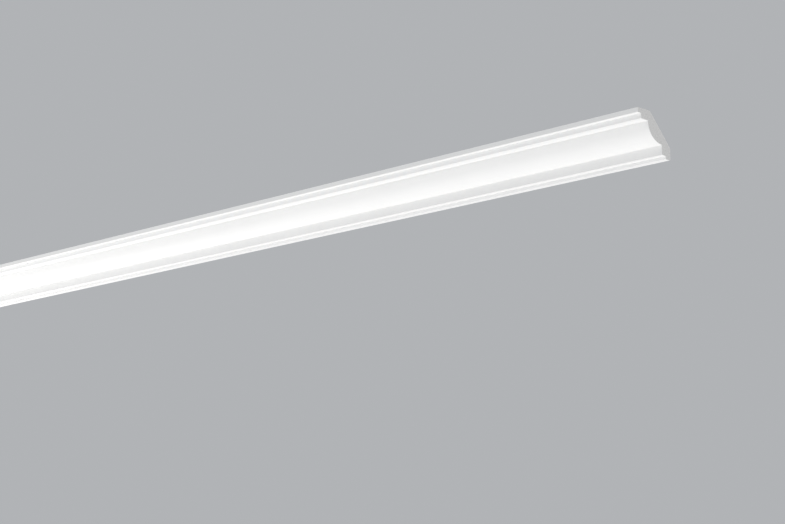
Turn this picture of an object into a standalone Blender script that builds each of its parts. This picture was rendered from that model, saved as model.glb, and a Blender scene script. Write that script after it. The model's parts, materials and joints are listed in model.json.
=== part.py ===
"""One straight length of cornice moulding, cut square at both ends.

The section steps back twice below its top arris, swells into a convex quarter ellipse, and
steps back twice more to its foot. The back is a plain 45 degree slope between two bearing faces.

The length runs along X, the moulding stands out towards -Y, and +Z is up. The origin is the
centre of the rear bearing face. Sizes are in metres.
"""

import math

import bmesh
import bpy
from mathutils import Vector

# The whole length
LENGTH = 2.0
PROJECTION = 0.088
DROP = 0.0757

# The two bearing faces, which take the adhesive
TOP_BEARING = 0.034
REAR_BEARING = 0.0217

# The front, from the top down: fillets are upright, soffits face down
TOP_FILLET = 0.0089
TOP_SOFFIT = 0.009
SECOND_FILLET = 0.009
SECOND_SOFFIT = 0.018
OVOLO_DROP = 0.0347
OVOLO_DEPTH = 0.0378
LOWER_FILLET = 0.0174
LOWER_SOFFIT = 0.0102

# Easing of the outer corners, and of the two softer inner ones
ARRIS_RADIUS = 0.0008
BACK_RADIUS = 0.003
TOP_COVE_RADIUS = 0.0014
LOWER_COVE_RADIUS = 0.0018
SHARP = 0.0

# How finely the round stretches are divided
OVOLO_STEPS = 24
CORNER_STEPS = 4
SMOOTH_ANGLE = math.radians(25)

# Bare white foam
COLOUR = (0.9, 0.9, 0.89, 1.0)
ROUGHNESS = 0.8


def clear_scene():
    for thing in list(bpy.data.objects):
        bpy.data.objects.remove(thing)


def quarter_ellipse(start, depth, drop, steps):
    """Points after start on the curve that leaves it straight down and arrives level, short of its end."""
    centre = start + Vector((depth, 0))
    quarter = math.pi / 2
    turns = [quarter * step / steps for step in range(1, steps)]
    return [centre - Vector((depth * math.cos(turn), drop * math.sin(turn))) for turn in turns]


def eased_corner(before, corner, after, radius, steps):
    """The corner itself when it is sharp, or else the arc that touches both of its sides."""
    if radius == SHARP:
        return [corner]
    to_before = (before - corner).normalized()
    to_after = (after - corner).normalized()
    half_angle = to_before.angle(to_after) / 2
    setback = radius / math.tan(half_angle)
    centre = corner + (to_before + to_after).normalized() * radius / math.sin(half_angle)
    first = corner + to_before * setback - centre
    last = corner + to_after * setback - centre
    return [centre + radius * first.slerp(last, step / steps) for step in range(steps + 1)]


def section_corners():
    """The corners of the section as (y, z), each with the radius of its easing, from the top front round."""
    top = DROP - REAR_BEARING / 2
    foot = top - DROP
    front = -PROJECTION
    second_front = front + TOP_SOFFIT
    brow = second_front + SECOND_SOFFIT
    lower_front = brow + OVOLO_DEPTH
    foot_front = lower_front + LOWER_SOFFIT
    top_soffit = top - TOP_FILLET
    second_soffit = top_soffit - SECOND_FILLET
    ovolo_end = second_soffit - OVOLO_DROP
    lower_soffit = ovolo_end - LOWER_FILLET

    ovolo = quarter_ellipse(Vector((brow, second_soffit)), OVOLO_DEPTH, OVOLO_DROP, OVOLO_STEPS)
    return [
        (Vector((front, top)), ARRIS_RADIUS),
        (Vector((front, top_soffit)), ARRIS_RADIUS),
        (Vector((second_front, top_soffit)), TOP_COVE_RADIUS),
        (Vector((second_front, second_soffit)), ARRIS_RADIUS),
        (Vector((brow, second_soffit)), SHARP),
        *[(point, SHARP) for point in ovolo],
        (Vector((lower_front, ovolo_end)), LOWER_COVE_RADIUS),
        (Vector((lower_front, lower_soffit)), ARRIS_RADIUS),
        (Vector((foot_front, lower_soffit)), SHARP),
        (Vector((foot_front, foot)), ARRIS_RADIUS),
        (Vector((0, foot)), BACK_RADIUS),
        (Vector((0, foot + REAR_BEARING)), BACK_RADIUS),
        (Vector((front + TOP_BEARING, top)), BACK_RADIUS),
    ]


def section_outline():
    """The closed outline of the section, with its outer corners eased."""
    corners = section_corners()
    points = [point for point, radius in corners]
    outline = []
    for i, (corner, radius) in enumerate(corners):
        before = points[i - 1]
        after = points[(i + 1) % len(points)]
        outline += eased_corner(before, corner, after, radius, CORNER_STEPS)
    return outline


def foam_material():
    material = bpy.data.materials.new("foam")
    material.use_nodes = True
    shader = material.node_tree.nodes["Principled BSDF"]
    shader.inputs["Base Color"].default_value = COLOUR
    shader.inputs["Roughness"].default_value = ROUGHNESS
    shader.inputs["Metallic"].default_value = 0.0
    return material


def section_curve(name, outline):
    """A flat filled curve of the section, thickened to the whole length and turned to run along X."""
    curve = bpy.data.curves.new(name, "CURVE")
    curve.dimensions = "2D"
    curve.fill_mode = "BOTH"
    curve.extrude = LENGTH / 2
    spline = curve.splines.new("POLY")
    spline.points.add(len(outline) - 1)
    for control, point in zip(spline.points, outline):
        control.co = (point.x, point.y, 0, 1)
    spline.use_cyclic_u = True
    moulding = bpy.data.objects.new(name, curve)
    moulding.rotation_euler = (math.pi / 2, 0, math.pi / 2)
    return moulding


def as_mesh(curve_object, collection):
    """The curve object as a closed mesh object in the collection, with its round stretches smooth."""
    collection.objects.link(curve_object)
    bpy.context.view_layer.update()
    graph = bpy.context.evaluated_depsgraph_get()
    mesh = bpy.data.meshes.new_from_object(curve_object.evaluated_get(graph))
    place = curve_object.matrix_world.copy()
    name = curve_object.name
    bpy.data.objects.remove(curve_object)

    welded = bmesh.new()
    welded.from_mesh(mesh)
    bmesh.ops.remove_doubles(welded, verts=welded.verts, dist=1e-6)
    welded.to_mesh(mesh)
    welded.free()
    mesh.shade_smooth()
    mesh.set_sharp_from_angle(angle=SMOOTH_ANGLE)

    solid = bpy.data.objects.new(name, mesh)
    solid.matrix_world = place
    collection.objects.link(solid)
    return solid


def main():
    clear_scene()
    collection = bpy.data.collections.new("cornice")
    bpy.context.scene.collection.children.link(collection)
    moulding = as_mesh(section_curve("cornice_moulding", section_outline()), collection)
    moulding.data.materials.append(foam_material())


main()
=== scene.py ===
"""The looks of one straight length of foam cornice moulding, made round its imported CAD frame.

+X runs along the length, the moulding stands out towards -Y, and +Z is up. The origin is the
centre of the rear bearing face. Sizes are in metres.
"""

import json
import math

import bmesh
import bpy
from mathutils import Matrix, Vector

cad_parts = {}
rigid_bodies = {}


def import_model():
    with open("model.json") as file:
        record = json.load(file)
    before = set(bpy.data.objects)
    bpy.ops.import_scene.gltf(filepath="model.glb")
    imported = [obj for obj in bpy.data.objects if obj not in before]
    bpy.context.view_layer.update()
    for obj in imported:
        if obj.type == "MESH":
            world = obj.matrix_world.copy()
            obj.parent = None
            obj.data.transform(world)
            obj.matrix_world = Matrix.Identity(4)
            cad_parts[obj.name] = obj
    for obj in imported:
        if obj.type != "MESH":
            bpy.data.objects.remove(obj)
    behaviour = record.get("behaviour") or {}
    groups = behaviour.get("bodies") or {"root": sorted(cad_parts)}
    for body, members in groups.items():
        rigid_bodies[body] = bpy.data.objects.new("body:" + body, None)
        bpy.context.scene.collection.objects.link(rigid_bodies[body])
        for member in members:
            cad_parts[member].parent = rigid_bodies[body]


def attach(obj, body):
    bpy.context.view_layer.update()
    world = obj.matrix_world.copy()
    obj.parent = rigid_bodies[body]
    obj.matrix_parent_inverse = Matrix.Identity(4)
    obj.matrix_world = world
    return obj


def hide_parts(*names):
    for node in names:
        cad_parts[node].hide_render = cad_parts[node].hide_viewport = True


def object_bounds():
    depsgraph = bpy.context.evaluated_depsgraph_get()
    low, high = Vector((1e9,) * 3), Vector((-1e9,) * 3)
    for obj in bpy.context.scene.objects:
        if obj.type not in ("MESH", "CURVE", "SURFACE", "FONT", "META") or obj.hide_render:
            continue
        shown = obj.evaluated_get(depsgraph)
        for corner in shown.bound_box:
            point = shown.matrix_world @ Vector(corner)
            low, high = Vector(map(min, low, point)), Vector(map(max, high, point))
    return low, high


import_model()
cad_low, cad_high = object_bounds()

bl_info = {
    "name": "Foam cornice moulding",
    "version": (1, 0, 0),
    "blender": (4, 5, 0),
    "location": "View3D > Sidebar > Cornice",
    "description": "Models a straight length of foam cornice moulding and the studio that shows it",
    "category": "Add Mesh",
}

# The frame's body and node, and the name of the piece made here
BODY = "root"
CAD_NODE = "cornice_moulding"
PIECE = "cornice_foam"

# The cut ends take the second of the piece's two materials
CUT_SLOT = 1

# How near a vertex lies to a place to count as being there
NEAR = 1e-5

# How finely the round stretches are divided
OVOLO_STEPS = 24
ARRIS_STEPS = 6
QUIRK_STEPS = 3
COVE_STEPS = 6
BACK_STEPS = 8

# Cuts across the length. One subdivision takes at most 100, so a second one halves each stretch
STATION_CUTS = 99
HALVING_CUTS = 1

# How far the end facets' corners are shaken, as a share of a facet, and the seed of the shaking
FACET_SHAKE = 0.22
SHAKE_SEED = 11

# Sizes of the cloud patterns that the relief follows, the marks' in units of their guide
GRAIN_SIZE = 0.0011
MARKS_SIZE = 1.0
SWAY_SIZE = 0.3

# The guide of the saw marks: its tilt, and its scale, which makes each mark narrow and long
SAW_TILT = math.radians(14)
SAW_SCALE = (1.0, 0.0018, 0.05)

# How far in from each cut end the sway fades out, so that the ends keep their section
SWAY_FADE = 0.12

# Corners that turn by less than this are shaded smooth
SMOOTH_ANGLE = math.radians(40)

# The stretch of a pattern's values over which a colour, a roughness or a height changes
PATTERN_LOW = 0.3
PATTERN_HIGH = 0.7

# Skin: squeezing X draws a pattern out into lines, and the mottle darkens to a share of the colour
LINE_SQUEEZE = (0.002, 1.0, 1.0)
LINES_PER_METRE = 900.0
SKIN_MOTTLE_PER_METRE = 14.0
SKIN_DARKEST = 0.985
PEBBLES_PER_METRE = 2200.0
PEBBLE_DEPTH = 0.000012
SKIN_SMOOTHEST = 0.76
SKIN_ROUGHEST = 0.84

# Cut ends: their mottle darkens to a share of the colour, and the middle of a cell is sunk and darkened by
# painted shade
CUT_MOTTLE_PER_METRE = 380.0
CUT_DARKEST = 0.84
PAINTED_CELL_SHADE = 0.25
CELL_DEPTH = 0.00015
CUT_ROUGHNESS = 0.85

FLOOR_ROUGHNESS = 0.9
FLOOR_RADIUS = 120.0
FLOOR_SIDES = 128

# Each soft light: name, place, the point it faces, width, height, power in watts
SOFT_LIGHTS = (
    ("below middle", (0.4, 0.0, -2.3), (0.4, 0.0, 0.0), 1.6, 0.6, 9.5),
    ("below right", (1.6, 0.0, -2.3), (1.6, 0.0, 0.0), 1.6, 0.6, 10.0),
    ("low front right", (1.6, -1.2, -2.3), (1.6, 0.0, 0.0), 1.6, 1.2, 9.5),
    ("low left", (-2.4, 0.0, -1.6), (-1.0, 0.0, 0.0), 1.2, 0.8, 41.0),
    ("front", (-1.55, -3.2, 0.0), (-0.4, 0.0, 0.0), 2.0, 2.0, 40.0),
    ("right end", (4.5, -0.6, 0.2), (1.0, 0.0, 0.0), 1.5, 1.5, 24.0),
    ("behind", (-1.5, 3.5, 3.0), (0.0, 0.0, 0.0), 2.5, 2.5, 110.0),
)

SENSOR_WIDTH = 36.0


def cad_size(axis):
    """The CAD model's whole size along an axis, to the nearest hundredth of a millimetre."""
    return round(cad_high[axis] - cad_low[axis], 5)


class CorniceSection(bpy.types.PropertyGroup):
    """Sizes of the section, from the top front arris down and round to the back."""

    length: bpy.props.FloatProperty(
        name="Length",
        description="Whole length between the two cut ends",
        default=cad_size(0),
        min=0.1,
        unit="LENGTH",
    )
    projection: bpy.props.FloatProperty(
        name="Projection",
        description="How far the top front arris stands out from the rear bearing face",
        default=cad_size(1),
        min=0.02,
        unit="LENGTH",
    )
    drop: bpy.props.FloatProperty(
        name="Drop",
        description="Height from the foot to the top bearing face",
        default=cad_size(2),
        min=0.02,
        unit="LENGTH",
    )
    top_fillet: bpy.props.FloatProperty(
        name="Top fillet",
        description="Height of the upright fillet below the top front arris",
        default=0.0089,
        min=0.001,
        unit="LENGTH",
    )
    top_soffit: bpy.props.FloatProperty(
        name="Top soffit",
        description="Depth of the first step back, under the top fillet",
        default=0.009,
        min=0.001,
        unit="LENGTH",
    )
    second_fillet: bpy.props.FloatProperty(
        name="Second fillet",
        description="Height of the upright fillet above the ovolo",
        default=0.009,
        min=0.001,
        unit="LENGTH",
    )
    second_soffit: bpy.props.FloatProperty(
        name="Second soffit",
        description="Depth of the second step back, to the brow of the ovolo",
        default=0.018,
        min=0.001,
        unit="LENGTH",
    )
    ovolo_drop: bpy.props.FloatProperty(
        name="Ovolo drop",
        description="Height of the convex quarter ellipse",
        default=0.0347,
        min=0.002,
        unit="LENGTH",
    )
    ovolo_depth: bpy.props.FloatProperty(
        name="Ovolo depth",
        description="Depth of the convex quarter ellipse, from its brow to its lower end",
        default=0.0378,
        min=0.002,
        unit="LENGTH",
    )
    lower_fillet: bpy.props.FloatProperty(
        name="Lower fillet",
        description="Height of the upright fillet below the ovolo",
        default=0.0174,
        min=0.001,
        unit="LENGTH",
    )
    lower_soffit: bpy.props.FloatProperty(
        name="Lower soffit",
        description="Depth of the step back under the lower fillet",
        default=0.0102,
        min=0.001,
        unit="LENGTH",
    )
    top_bearing: bpy.props.FloatProperty(
        name="Top bearing",
        description="Width of the flat top bearing face",
        default=0.034,
        min=0.001,
        unit="LENGTH",
    )
    rear_bearing: bpy.props.FloatProperty(
        name="Rear bearing",
        description="Height of the flat rear bearing face",
        default=0.0217,
        min=0.001,
        unit="LENGTH",
    )
    arris_radius: bpy.props.FloatProperty(
        name="Arris radius",
        description="Rounding of the outer corners of fillets and soffits",
        default=0.0008,
        min=0.0001,
        unit="LENGTH",
    )
    quirk_radius: bpy.props.FloatProperty(
        name="Quirk radius",
        description="Rounding in the two sharp inner corners, above the ovolo and above the foot",
        default=0.0004,
        min=0.0001,
        unit="LENGTH",
    )
    top_cove_radius: bpy.props.FloatProperty(
        name="Top cove radius",
        description="Rounding in the softer inner corner between the top soffit and the second fillet",
        default=0.0014,
        min=0.0001,
        unit="LENGTH",
    )
    lower_cove_radius: bpy.props.FloatProperty(
        name="Lower cove radius",
        description="Rounding in the softer inner corner between the ovolo and the lower fillet",
        default=0.0018,
        min=0.0001,
        unit="LENGTH",
    )
    back_radius: bpy.props.FloatProperty(
        name="Back radius",
        description="Rounding of the three hidden corners, round the rear bearing face and above the back",
        default=0.003,
        min=0.0001,
        unit="LENGTH",
    )


class CorniceFoam(bpy.types.PropertyGroup):
    """Colours and relief of the foam."""

    skin_colour: bpy.props.FloatVectorProperty(
        name="Skin colour",
        description="Colour of the smooth white skin",
        default=(0.905, 0.903, 0.896),
        min=0.0,
        max=1.0,
        subtype="COLOR",
    )
    cut_colour: bpy.props.FloatVectorProperty(
        name="Cut colour",
        description="Colour of the bare cells on the two cut ends",
        default=(0.845, 0.835, 0.82),
        min=0.0,
        max=1.0,
        subtype="COLOR",
    )
    cell_size: bpy.props.FloatProperty(
        name="Cell size",
        description="Width of one foam cell on the cut ends",
        default=0.0006,
        min=0.0001,
        unit="LENGTH",
    )
    facet: bpy.props.FloatProperty(
        name="Cut facet",
        description="Width of the mesh faces that carry the relief of the cut ends",
        default=0.0005,
        min=0.0002,
        unit="LENGTH",
    )
    grain_depth: bpy.props.FloatProperty(
        name="Grain depth",
        description="Deepest hollow that the torn cells leave in a cut end",
        default=0.00022,
        min=0.0,
        unit="LENGTH",
    )
    saw_depth: bpy.props.FloatProperty(
        name="Saw mark depth",
        description="Depth of the marks that the blade leaves in a cut end",
        default=0.0001,
        min=0.0,
        unit="LENGTH",
    )
    sway: bpy.props.FloatProperty(
        name="Sway",
        description="How far the long faces dip as the extrusion breathes along its length",
        default=0.0002,
        min=0.0,
        unit="LENGTH",
    )
    die_line_depth: bpy.props.FloatProperty(
        name="Die line depth",
        description="Depth of the faint lines that the die draws along the skin",
        default=0.00002,
        min=0.0,
        unit="LENGTH",
    )


class CorniceStudio(bpy.types.PropertyGroup):
    """The plain studio and the camera in it."""

    floor_level: bpy.props.FloatProperty(
        name="Floor level",
        description="Height of the floor, far enough down to look up at the moulding from below",
        default=-8.0,
        unit="LENGTH",
    )
    floor_colour: bpy.props.FloatVectorProperty(
        name="Floor colour",
        description="Colour of the plain pale floor",
        default=(0.94, 0.95, 0.96),
        min=0.0,
        max=1.0,
        subtype="COLOR",
    )
    backdrop_colour: bpy.props.FloatVectorProperty(
        name="Backdrop colour",
        description="Colour of the plain pale surroundings",
        default=(0.440, 0.452, 0.468),
        min=0.0,
        max=1.0,
        subtype="COLOR",
    )
    light_colour: bpy.props.FloatVectorProperty(
        name="Light colour",
        description="Colour of the soft lights, a little warm against the cool surroundings",
        default=(1.0, 0.98, 0.955),
        min=0.0,
        max=1.0,
        subtype="COLOR",
    )
    camera_place: bpy.props.FloatVectorProperty(
        name="Camera place",
        description="Where the camera stands, below and to the right of the moulding",
        default=(2.713, -2.420, -0.78765),
        subtype="TRANSLATION",
        unit="LENGTH",
    )
    camera_turn: bpy.props.FloatVectorProperty(
        name="Camera turn",
        description="How the camera is turned, looking left along the moulding and up",
        default=(math.radians(101.64), 0.0, math.radians(44.36)),
        subtype="EULER",
        unit="ROTATION",
    )
    lens: bpy.props.FloatProperty(
        name="Lens",
        description="Focal length for a sensor 36 mm wide",
        default=82.55,
        min=1.0,
        unit="CAMERA",
    )


def deselect_all():
    if bpy.context.mode != "OBJECT":
        bpy.ops.object.mode_set(mode="OBJECT")
    bpy.ops.object.select_all(action="DESELECT")


def pick(kind, wanted):
    """In edit mode, selects only the vertices, edges or faces that wanted is true for."""
    bpy.ops.mesh.select_mode(type=kind)
    bpy.ops.mesh.select_all(action="DESELECT")
    mesh = bpy.context.edit_object.data
    cage = bmesh.from_edit_mesh(mesh)
    parts = {"VERT": cage.verts, "EDGE": cage.edges, "FACE": cage.faces}[kind]
    found = [part for part in parts if wanted(part)]
    if not found:
        raise RuntimeError("nothing to select where the moulding should be shaped")
    for part in found:
        part.select_set(True)
    cage.select_flush_mode()
    bmesh.update_edit_mesh(mesh, loop_triangles=False, destructive=False)


def extend(dy, dz):
    """Draws the next straight stretch of the section's outline."""
    bpy.ops.mesh.extrude_vertices_move(TRANSFORM_OT_translate={"value": (0, dy, dz)})


def outline_corners(section):
    """The corners of the section as (y, z), by name."""
    front = -section.projection
    top = section.drop - section.rear_bearing / 2
    foot = top - section.drop
    second_front = front + section.top_soffit
    brow = second_front + section.second_soffit
    lower_front = brow + section.ovolo_depth
    foot_front = lower_front + section.lower_soffit
    top_soffit = top - section.top_fillet
    second_soffit = top_soffit - section.second_fillet
    ovolo_end = second_soffit - section.ovolo_drop
    lower_soffit = ovolo_end - section.lower_fillet
    return {
        "top front": (front, top),
        "top fillet": (front, top_soffit),
        "top quirk": (second_front, top_soffit),
        "second fillet": (second_front, second_soffit),
        "brow": (brow, second_soffit),
        "ovolo end": (lower_front, ovolo_end),
        "lower fillet": (lower_front, lower_soffit),
        "lower quirk": (foot_front, lower_soffit),
        "foot front": (foot_front, foot),
        "foot rear": (0.0, foot),
        "rear top": (0.0, foot + section.rear_bearing),
        "top rear": (front + section.top_bearing, top),
    }


def walk(corners, *names):
    """Draws the outline on from the first named corner through the others."""
    for start, end in zip(names, names[1:]):
        extend(corners[end][0] - corners[start][0], corners[end][1] - corners[start][1])


def draw_section(section, corners, x):
    """Draws the section's outline at x, corner by corner from the top fillet, and fills it."""
    front, top = corners["top front"]
    half = section.top_fillet / 2

    # Of a small upright plane only the front edge is kept, as the top fillet
    bpy.ops.mesh.primitive_plane_add(
        size=section.top_fillet,
        calc_uvs=False,
        location=(x, front + half, top - half),
        rotation=(0, math.pi / 2, 0),
    )
    bpy.ops.object.transform_apply(location=True, rotation=True, scale=True)
    bpy.ops.object.mode_set(mode="EDIT")
    pick("VERT", lambda vert: vert.co.y > front + half)
    bpy.ops.mesh.delete(type="VERT")

    pick("VERT", lambda vert: vert.co.z < top - half)
    walk(corners, "top fillet", "top quirk", "second fillet", "brow")

    # The ovolo is a quarter circle, squeezed to its height
    brow, level = corners["brow"]
    centre = (x, brow + section.ovolo_depth, level)
    bpy.ops.mesh.spin(steps=OVOLO_STEPS, angle=-math.pi / 2, center=centre, axis=(1, 0, 0))
    pick("VERT", lambda vert: vert.co.y > brow - NEAR)
    squeeze = section.ovolo_drop / section.ovolo_depth
    bpy.ops.transform.resize(value=(1, 1, squeeze), center_override=centre)
    pick("VERT", lambda vert: vert.co.y > brow + section.ovolo_depth - NEAR)
    walk(corners, "ovolo end", "lower fillet", "lower quirk", "foot front")
    walk(corners, "foot front", "foot rear", "rear top", "top rear")

    bpy.ops.mesh.select_all(action="SELECT")
    bpy.ops.mesh.edge_face_add()


def runs_along(edge):
    """True for an edge along the length."""
    first, second = edge.verts
    return abs(first.co.x - second.co.x) > NEAR


def ease(corners, names, radius, steps, turn=math.pi / 2):
    """Rounds the long edges at the named corners, where the outline turns by an angle."""
    places = [corners[name] for name in names]

    def at_corner(edge):
        y, z = edge.verts[0].co.yz
        return runs_along(edge) and any(abs(y - a) < NEAR and abs(z - b) < NEAR for a, b in places)

    pick("EDGE", at_corner)
    setback = radius * math.tan(turn / 2)
    bpy.ops.mesh.bevel(offset_type="OFFSET", offset=setback, segments=steps, profile=0.5, affect="EDGES")


def raise_length(section, corners):
    """Pulls the section out to the whole length, eases its corners and divides it along the way."""
    bpy.ops.mesh.extrude_region_move(TRANSFORM_OT_translate={"value": (section.length, 0, 0)})
    bpy.ops.mesh.select_all(action="SELECT")
    bpy.ops.mesh.normals_make_consistent(inside=False)
    arrises = ("top front", "top fillet", "second fillet", "lower fillet", "foot front")
    ease(corners, arrises, section.arris_radius, ARRIS_STEPS)
    ease(corners, ("brow", "lower quirk"), section.quirk_radius, QUIRK_STEPS)
    ease(corners, ("top quirk",), section.top_cove_radius, COVE_STEPS)
    ease(corners, ("ovolo end",), section.lower_cove_radius, COVE_STEPS)
    ease(corners, ("foot rear",), section.back_radius, BACK_STEPS)
    ease(corners, ("rear top", "top rear"), section.back_radius, BACK_STEPS, turn=math.pi / 4)
    pick("EDGE", runs_along)
    bpy.ops.mesh.subdivide(number_cuts=STATION_CUTS)
    pick("EDGE", runs_along)
    bpy.ops.mesh.subdivide(number_cuts=HALVING_CUTS)


def pick_cut_faces(piece):
    """In edit mode, selects the faces of both cut ends."""
    bpy.ops.mesh.select_mode(type="FACE")
    bpy.ops.mesh.select_all(action="DESELECT")
    piece.active_material_index = CUT_SLOT
    bpy.ops.object.material_slot_select()


def grid_lines(low, high, pitch):
    """Places from low to high, a pitch apart and half a pitch in from the ends."""
    count = round((high - low) / pitch)
    return [low + (step + 0.5) * pitch for step in range(count)]


def facet_cut_ends(piece, section, foam):
    """Cuts the two end faces into small facets and shakes these out of line."""
    half = section.length / 2
    pick("FACE", lambda face: abs(abs(face.calc_center_median().x) - half) < NEAR)
    piece.active_material_index = CUT_SLOT
    bpy.ops.object.material_slot_assign()
    for axis in (1, 2):
        normal = Vector((0, 0, 0))
        normal[axis] = 1
        for place in grid_lines(cad_low[axis], cad_high[axis], foam.facet):
            pick_cut_faces(piece)
            bpy.ops.mesh.bisect(plane_co=normal * place, plane_no=normal)
    pick_cut_faces(piece)
    bpy.ops.mesh.select_less()
    bpy.ops.transform.vertex_random(
        offset=FACET_SHAKE * foam.facet, uniform=0.0, normal=0.0, seed=SHAKE_SEED
    )

    # The shaking also moves vertices off the plane of the cut, so they are pressed back onto it
    for end in (-half, half):
        pick("VERT", lambda vert: abs(vert.co.x - end) < foam.facet)
        bpy.ops.transform.resize(value=(0, 1, 1), center_override=(end, 0, 0))


def weigh(piece, name, weight):
    """Makes a vertex group with each vertex's weight where that is above nothing."""
    group = piece.vertex_groups.new(name=name)
    for vert in piece.data.vertices:
        share = weight(vert.co)
        if share > 0:
            group.add([vert.index], share, "REPLACE")


def displace(piece, group, axis, depth, texture, guide=None):
    """Sinks a group's vertices by up to a depth as a texture says, and never raises them."""
    bpy.ops.object.modifier_add(type="DISPLACE")
    sink = piece.modifiers[-1]
    sink.texture = texture
    sink.texture_coords = "OBJECT" if guide else "LOCAL"
    sink.texture_coords_object = guide
    sink.vertex_group = group
    sink.direction = axis
    sink.mid_level = 1.0
    sink.strength = depth
    bpy.ops.object.modifier_apply(modifier=sink.name)


def clouds(name, size, layers):
    texture = bpy.data.textures.new(name, "CLOUDS")
    texture.noise_scale = size
    texture.noise_depth = layers
    return texture


def sink_relief(piece, section, foam):
    """Gives the cut ends their torn grain and saw marks, and the long faces a slow sway."""
    half = section.length / 2

    def sways(at):
        """How much of the sway a place takes: none on the bearing faces, less towards the ends."""
        if at.y > -NEAR or at.z > cad_high.z - NEAR:
            return 0.0
        return min(1.0, (half - abs(at.x)) / SWAY_FADE)

    weigh(piece, "left cut", lambda at: 1.0 if at.x < NEAR - half else 0.0)
    weigh(piece, "right cut", lambda at: 1.0 if at.x > half - NEAR else 0.0)
    weigh(piece, "long faces", sways)

    bpy.ops.object.empty_add(location=(0, 0, 0), rotation=(SAW_TILT, 0, 0))
    guide = bpy.context.object
    guide.scale = SAW_SCALE
    bpy.context.view_layer.update()
    deselect_all()
    piece.select_set(True)
    bpy.context.view_layer.objects.active = piece

    grain = clouds("torn grain", GRAIN_SIZE, layers=2)
    marks = clouds("saw marks", MARKS_SIZE, layers=1)
    sway = clouds("sway", SWAY_SIZE, layers=0)
    for group, inward in (("left cut", -1), ("right cut", 1)):
        displace(piece, group, "X", inward * foam.grain_depth, grain)
        displace(piece, group, "X", inward * foam.saw_depth, marks, guide)
    displace(piece, "long faces", "NORMAL", foam.sway, sway)

    bpy.data.objects.remove(guide)
    for texture in (grain, marks, sway):
        bpy.data.textures.remove(texture)
    piece.vertex_groups.clear()


def shade(piece):
    """Shades the round stretches smooth and keeps the flats flat."""
    bpy.ops.object.shade_smooth_by_angle(angle=SMOOTH_ANGLE)
    bpy.ops.object.modifier_add(type="WEIGHTED_NORMAL")
    weights = piece.modifiers[-1]
    weights.keep_sharp = True
    bpy.ops.object.modifier_apply(modifier=weights.name)


def model_moulding(section, foam):
    corners = outline_corners(section)
    deselect_all()
    draw_section(section, corners, -section.length / 2)
    piece = bpy.context.object
    piece.name = PIECE
    piece.data.name = PIECE
    piece.data.materials.append(skin_material(foam))
    piece.data.materials.append(cut_material(foam))
    raise_length(section, corners)
    facet_cut_ends(piece, section, foam)
    bpy.ops.object.mode_set(mode="OBJECT")
    sink_relief(piece, section, foam)
    shade(piece)
    return piece


def add_node(tree, kind, place, inputs, **settings):
    """Adds a node, with each input either set to a value or linked from another node's output."""
    made = tree.nodes.new(kind)
    made.location = place
    for name, value in settings.items():
        setattr(made, name, value)
    for name, value in inputs.items():
        if isinstance(value, bpy.types.NodeSocket):
            tree.links.new(value, made.inputs[name])
        else:
            made.inputs[name].default_value = value
    return made


def new_material(name):
    material = bpy.data.materials.new(name)
    material.use_nodes = True
    return material, material.node_tree, material.node_tree.nodes["Principled BSDF"]


def shaded(colour, share):
    """A colour times a share, with full alpha."""
    return (*(channel * share for channel in colour), 1.0)


def ramp(tree, place, value, dark, light):
    """A colour that goes from dark to light over the used stretch of a pattern."""
    made = add_node(tree, "ShaderNodeValToRGB", place, {"Fac": value})
    made.color_ramp.elements[0].position = PATTERN_LOW
    made.color_ramp.elements[0].color = dark
    made.color_ramp.elements[1].position = PATTERN_HIGH
    made.color_ramp.elements[1].color = light
    return made.outputs["Color"]


def spread(tree, place, value, low, high):
    """A number that goes from low to high over the used stretch of a pattern."""
    inputs = {
        "Value": value,
        "From Min": PATTERN_LOW,
        "From Max": PATTERN_HIGH,
        "To Min": low,
        "To Max": high,
    }
    return add_node(tree, "ShaderNodeMapRange", place, inputs).outputs["Result"]


def noise(tree, place, at, scale, detail=2.0):
    inputs = {"Vector": at, "Scale": scale, "Detail": detail}
    return add_node(tree, "ShaderNodeTexNoise", place, inputs).outputs["Fac"]


def bump(tree, place, height, depth, below=None):
    """A relief of a depth over the one below it."""
    inputs = {"Height": height, "Distance": depth, "Strength": 1.0}
    if below:
        inputs["Normal"] = below
    return add_node(tree, "ShaderNodeBump", place, inputs).outputs["Normal"]


def skin_material(foam):
    """Smooth white extruded skin: faint lines along the length, a fine pebble and a slow mottle."""
    material, tree, shader = new_material("foam skin")
    at = add_node(tree, "ShaderNodeTexCoord", (-1400, 0), {}).outputs["Object"]
    drawn = add_node(
        tree, "ShaderNodeMapping", (-1200, 200), {"Vector": at, "Scale": LINE_SQUEEZE}
    ).outputs["Vector"]
    lines = noise(tree, (-950, 200), drawn, LINES_PER_METRE, detail=3.0)
    mottle = noise(tree, (-950, -100), at, SKIN_MOTTLE_PER_METRE, detail=4.0)
    pebble = noise(tree, (-950, -400), at, PEBBLES_PER_METRE)

    darkest = shaded(foam.skin_colour, SKIN_DARKEST)
    colour = ramp(tree, (-600, 300), mottle, darkest, shaded(foam.skin_colour, 1.0))
    tree.links.new(colour, shader.inputs["Base Color"])
    roughness = spread(tree, (-600, 0), lines, SKIN_SMOOTHEST, SKIN_ROUGHEST)
    tree.links.new(roughness, shader.inputs["Roughness"])
    relief = bump(tree, (-600, -400), pebble, PEBBLE_DEPTH)
    relief = bump(tree, (-400, -300), lines, foam.die_line_depth, relief)
    tree.links.new(relief, shader.inputs["Normal"])
    return material


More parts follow.
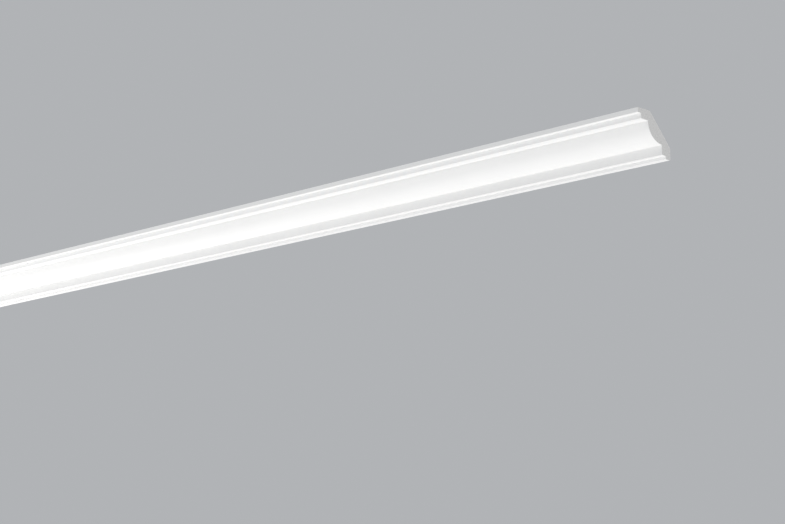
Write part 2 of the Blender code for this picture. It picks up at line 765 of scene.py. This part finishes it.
def cut_material(foam):
    """Bare foam where the length was sawn: small closed cells, sunk in the middle and darkened there by
    painted shade, in a soft mottle.
    """
    material, tree, shader = new_material("cut foam")
    at = add_node(tree, "ShaderNodeTexCoord", (-1400, 0), {}).outputs["Object"]
    cells = add_node(
        tree,
        "ShaderNodeTexVoronoi",
        (-1000, 200),
        {"Vector": at, "Scale": 1.0 / foam.cell_size},
        feature="DISTANCE_TO_EDGE",
    ).outputs["Distance"]
    mottle = noise(tree, (-1000, -200), at, CUT_MOTTLE_PER_METRE, detail=3.0)
    rim = spread(tree, (-750, 200), cells, 1.0, 0.0)
    darkest = shaded(foam.cut_colour, CUT_DARKEST)
    pale = ramp(tree, (-500, 400), mottle, darkest, shaded(foam.cut_colour, 1.0))
    # Painted shade: the colour is darkened towards the middle of each cell, as if shade lay in its hollow
    painted_shade_mix = add_node(
        tree,
        "ShaderNodeMixRGB",
        (-250, 300),
        {"Fac": PAINTED_CELL_SHADE, "Color1": pale},
        blend_type="MULTIPLY",
    )
    tree.links.new(rim, painted_shade_mix.inputs["Color2"])
    tree.links.new(painted_shade_mix.outputs["Color"], shader.inputs["Base Color"])
    shader.inputs["Roughness"].default_value = CUT_ROUGHNESS
    relief = bump(tree, (-500, -200), rim, CELL_DEPTH)
    tree.links.new(relief, shader.inputs["Normal"])
    return material


def floor_material(studio):
    material, _, shader = new_material("pale floor")
    shader.inputs["Base Color"].default_value = shaded(studio.floor_colour, 1.0)
    shader.inputs["Roughness"].default_value = FLOOR_ROUGHNESS
    return material


def lay_floor(studio):
    deselect_all()
    bpy.ops.mesh.primitive_circle_add(
        vertices=FLOOR_SIDES,
        radius=FLOOR_RADIUS,
        fill_type="NGON",
        location=(0, 0, studio.floor_level),
    )
    floor = bpy.context.object
    floor.name = "studio_floor"
    bpy.ops.object.transform_apply(location=True, rotation=True, scale=True)
    floor.data.materials.append(floor_material(studio))


def hang_lights(studio):
    for name, place, aim, width, height, power in SOFT_LIGHTS:
        turn = (Vector(aim) - Vector(place)).to_track_quat("-Z", "Y").to_euler()
        bpy.ops.object.light_add(type="AREA", location=place, rotation=turn)
        lamp = bpy.context.object
        lamp.name = name
        lamp.data.shape = "RECTANGLE"
        lamp.data.size = width
        lamp.data.size_y = height
        lamp.data.energy = power
        lamp.data.color = studio.light_colour
        lamp.visible_camera = False


def set_backdrop(studio):
    world = bpy.data.worlds.new("studio")
    world.use_nodes = True
    backdrop = world.node_tree.nodes["Background"]
    backdrop.inputs["Color"].default_value = (*studio.backdrop_colour, 1.0)
    backdrop.inputs["Strength"].default_value = 1.0
    bpy.context.scene.world = world
    bpy.context.scene.view_settings.view_transform = "Standard"


def place_camera(studio):
    bpy.ops.object.camera_add(location=studio.camera_place, rotation=studio.camera_turn)
    camera = bpy.context.object
    camera.name = "camera"
    camera.data.sensor_width = SENSOR_WIDTH
    camera.data.lens = studio.lens
    bpy.context.scene.camera = camera


class CORNICE_OT_moulding(bpy.types.Operator):
    """Model the length of moulding, with its skin and its two cut ends"""

    bl_idname = "cornice.moulding"
    bl_label = "Foam moulding"
    bl_options = {"REGISTER", "UNDO"}

    def execute(self, context):
        piece = model_moulding(context.scene.cornice_section, context.scene.cornice_foam)
        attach(piece, BODY)
        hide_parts(CAD_NODE)
        return {"FINISHED"}


class CORNICE_OT_stage(bpy.types.Operator):
    """Lay the floor, hang the lights and place the camera"""

    bl_idname = "cornice.stage"
    bl_label = "Studio stage"
    bl_options = {"REGISTER", "UNDO"}

    def execute(self, context):
        studio = context.scene.cornice_studio
        lay_floor(studio)
        hang_lights(studio)
        set_backdrop(studio)
        place_camera(studio)
        return {"FINISHED"}


class CORNICE_PT_sidebar(bpy.types.Panel):
    """Sizes, colours and the operators that use them"""

    bl_idname = "CORNICE_PT_sidebar"
    bl_label = "Foam cornice"
    bl_space_type = "VIEW_3D"
    bl_region_type = "UI"
    bl_category = "Cornice"

    def draw(self, context):
        layout = self.layout
        for operator in OPERATORS:
            layout.operator(operator.bl_idname)
        for name, group in GROUPS.items():
            box = layout.box()
            for prop in group.__annotations__:
                box.prop(getattr(context.scene, name), prop)


GROUPS = {"cornice_section": CorniceSection, "cornice_foam": CorniceFoam, "cornice_studio": CorniceStudio}
OPERATORS = (CORNICE_OT_moulding, CORNICE_OT_stage)
CLASSES = (*GROUPS.values(), *OPERATORS, CORNICE_PT_sidebar)


def register():
    for cls in CLASSES:
        bpy.utils.register_class(cls)
    for name, group in GROUPS.items():
        setattr(bpy.types.Scene, name, bpy.props.PointerProperty(type=group))


def unregister():
    for name in GROUPS:
        delattr(bpy.types.Scene, name)
    for cls in reversed(CLASSES):
        bpy.utils.unregister_class(cls)


def main():
    register()
    bpy.ops.cornice.moulding()
    bpy.ops.cornice.stage()


if __name__ == "__main__":
    main()
